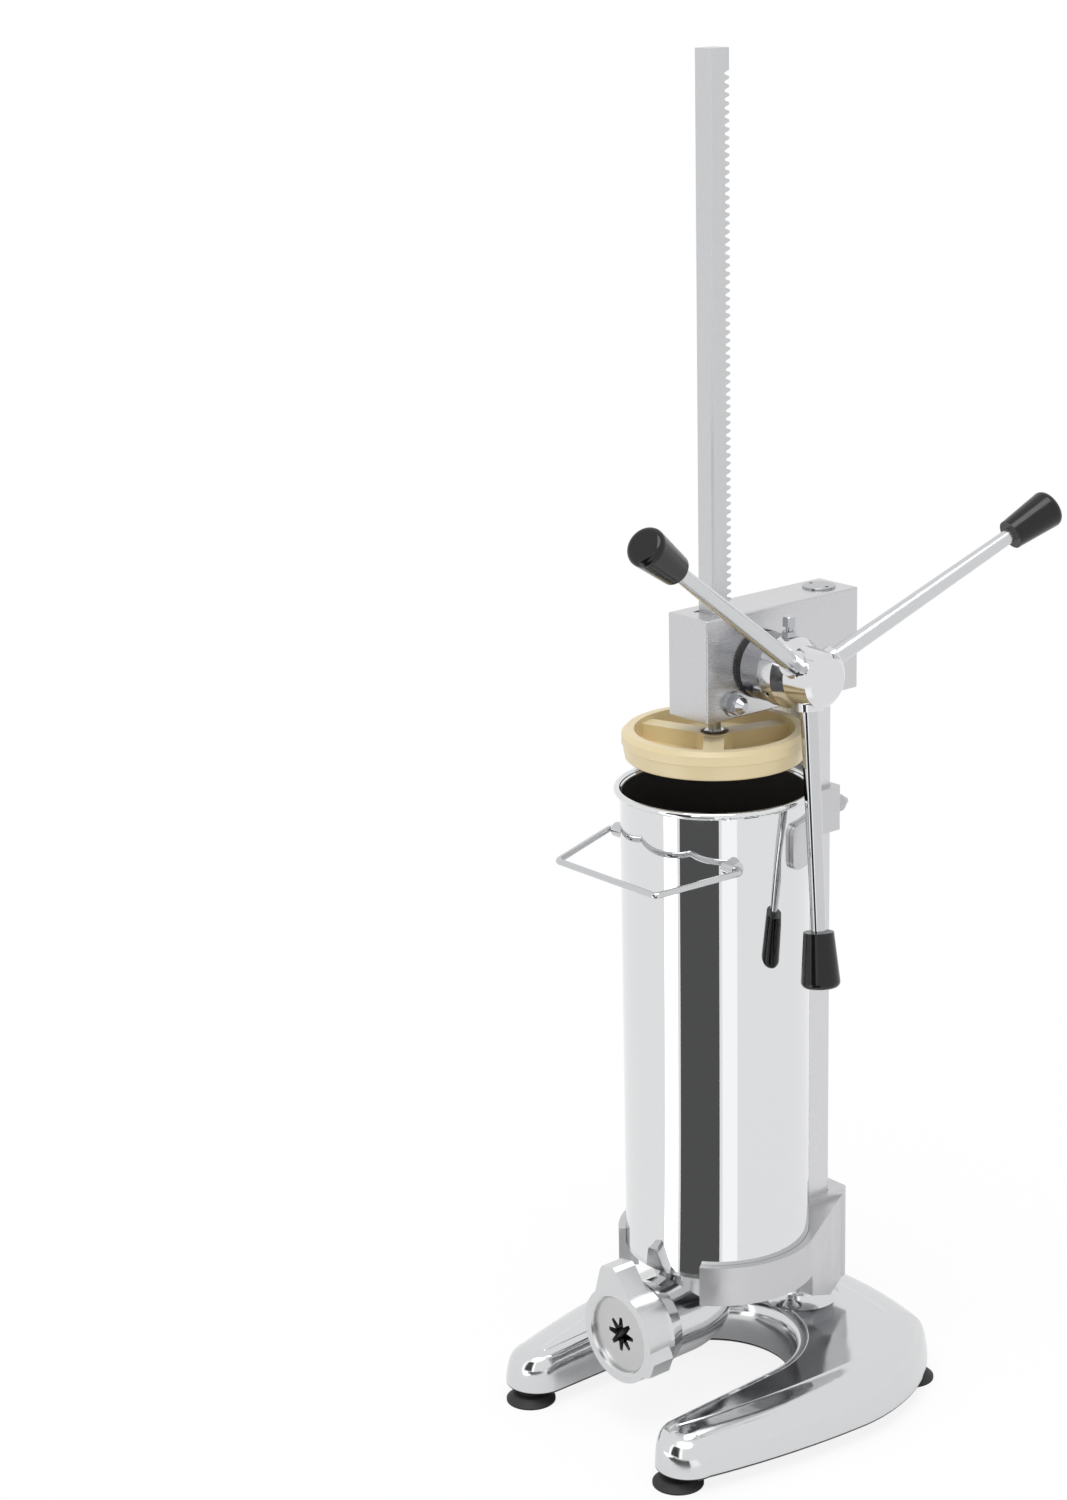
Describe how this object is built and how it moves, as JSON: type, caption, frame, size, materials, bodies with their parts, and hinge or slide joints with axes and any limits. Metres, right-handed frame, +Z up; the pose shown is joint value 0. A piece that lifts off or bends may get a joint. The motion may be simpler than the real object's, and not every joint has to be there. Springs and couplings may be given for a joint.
{
  "type": "churro maker",
  "caption": "Upright rack-and-pinion churro press: a spoked lever drives a piston down a steel cylinder on a cast horseshoe base, pushing dough through a spout with a star die.",
  "frame": {"origin": "on the worktop plane, under the cylinder's axis", "axes": "+Z up, -Y the way the spout points, +X the side the lever is on"},
  "size_m": [0.2874, 0.4433, 1.098],
  "materials": {
    "polished_casting": "polished",
    "satin_casting": "satin, tumbled casting",
    "machined_aluminium": "fine machined, satin",
    "column_steel": "satin",
    "cylinder_steel": "mirror-polished stainless steel",
    "polished_steel": "polished",
    "hardware": "bright plated",
    "rack_steel": "milled",
    "shaft_steel": "machined",
    "lever_chrome": "bright chrome",
    "grip_plastic": "glossy",
    "piston_nylon": "turned, satin",
    "black_rubber": "matte",
    "bearing_brass": "machined",
    "die_steel": "satin"
  },
  "bodies": {
    "frame": {"base_casting": "polished_casting", "suction_cup_front_left": "black_rubber", "suction_cup_front_right": "black_rubber", "suction_cup_rear_left": "black_rubber", "suction_cup_rear_right": "black_rubber", "cup_screws": "hardware", "cradle": "satin_casting", "cradle_bolts": "hardware", "column": "column_steel", "column_clamp_screws": "hardware", "yoke": "satin_casting", "yoke_washers": "hardware", "yoke_screws": "hardware", "head_block": "machined_aluminium", "head_plug": "polished_steel", "column_tie_bolts": "hardware", "rack_shoe": "rack_steel", "guide_pad": "bearing_brass", "guide_bolt_washer": "hardware", "guide_bolt": "hardware", "bearing_sleeve": "polished_steel", "bearing_seal": "black_rubber", "pinion_bush_right": "bearing_brass", "pinion_bush_left": "bearing_brass", "cylinder": "cylinder_steel", "outlet_elbow": "polished_casting", "handle_lugs": "lever_chrome"},
    "ram": {"rack": "rack_steel", "piston_stud": "shaft_steel", "piston": "piston_nylon", "piston_washer": "hardware", "piston_nut": "hardware", "piston_lower_washer": "hardware", "piston_cap_nut": "hardware"},
    "lever": {"pinion": "shaft_steel", "pinion_shaft": "shaft_steel", "pinion_key": "shaft_steel", "shaft_end_washer": "hardware", "shaft_end_screw": "hardware", "lever_hub": "satin_casting", "hub_lock_screw": "hardware", "hub_lock_nut": "hardware", "hub_set_screws": "hardware", "lever_rod_rear": "lever_chrome", "lever_rod_front": "lever_chrome", "lever_rod_down": "lever_chrome", "lever_grip_rear": "grip_plastic", "lever_grip_front": "grip_plastic", "lever_grip_down": "grip_plastic"},
    "handle": {"wire_handle": "lever_chrome"},
    "die": {"star_die": "die_steel"},
    "ring_nut": {"ring_nut": "polished_casting"}
  },
  "joints": [
    {"name": "lever_turn", "type": "hinge", "parent": "frame", "child": "lever", "pos_m": [0, 0.03, 0.627], "axis": [1, 0, 0], "range_deg": [0, 1041.7]},
    {"name": "ram_slide", "type": "slide", "parent": "frame", "child": "ram", "axis": [0, 0, -1], "range_m": [0, 0.4]},
    {"name": "handle_swing", "type": "hinge", "parent": "frame", "child": "handle", "pos_m": [0, -0.042, 0.4857], "axis": [-1, 0, 0], "range_deg": [0, 60]},
    {"name": "die_slide", "type": "slide", "parent": "frame", "child": "die", "axis": [0, -1, 0], "range_m": [0, 0.0121]},
    {"name": "nut_turn", "type": "hinge", "parent": "die", "child": "ring_nut", "pos_m": [0, -0.1, 0.087], "axis": [0, -1, 0], "range_deg": [0, 1080]}
  ],
  "couplings": [
    {"joint": "ram_slide", "follows": "lever_turn", "m_per_rad": 0.022},
    {"joint": "die_slide", "follows": "nut_turn", "m_per_rad": 0.00063662}
  ]
}
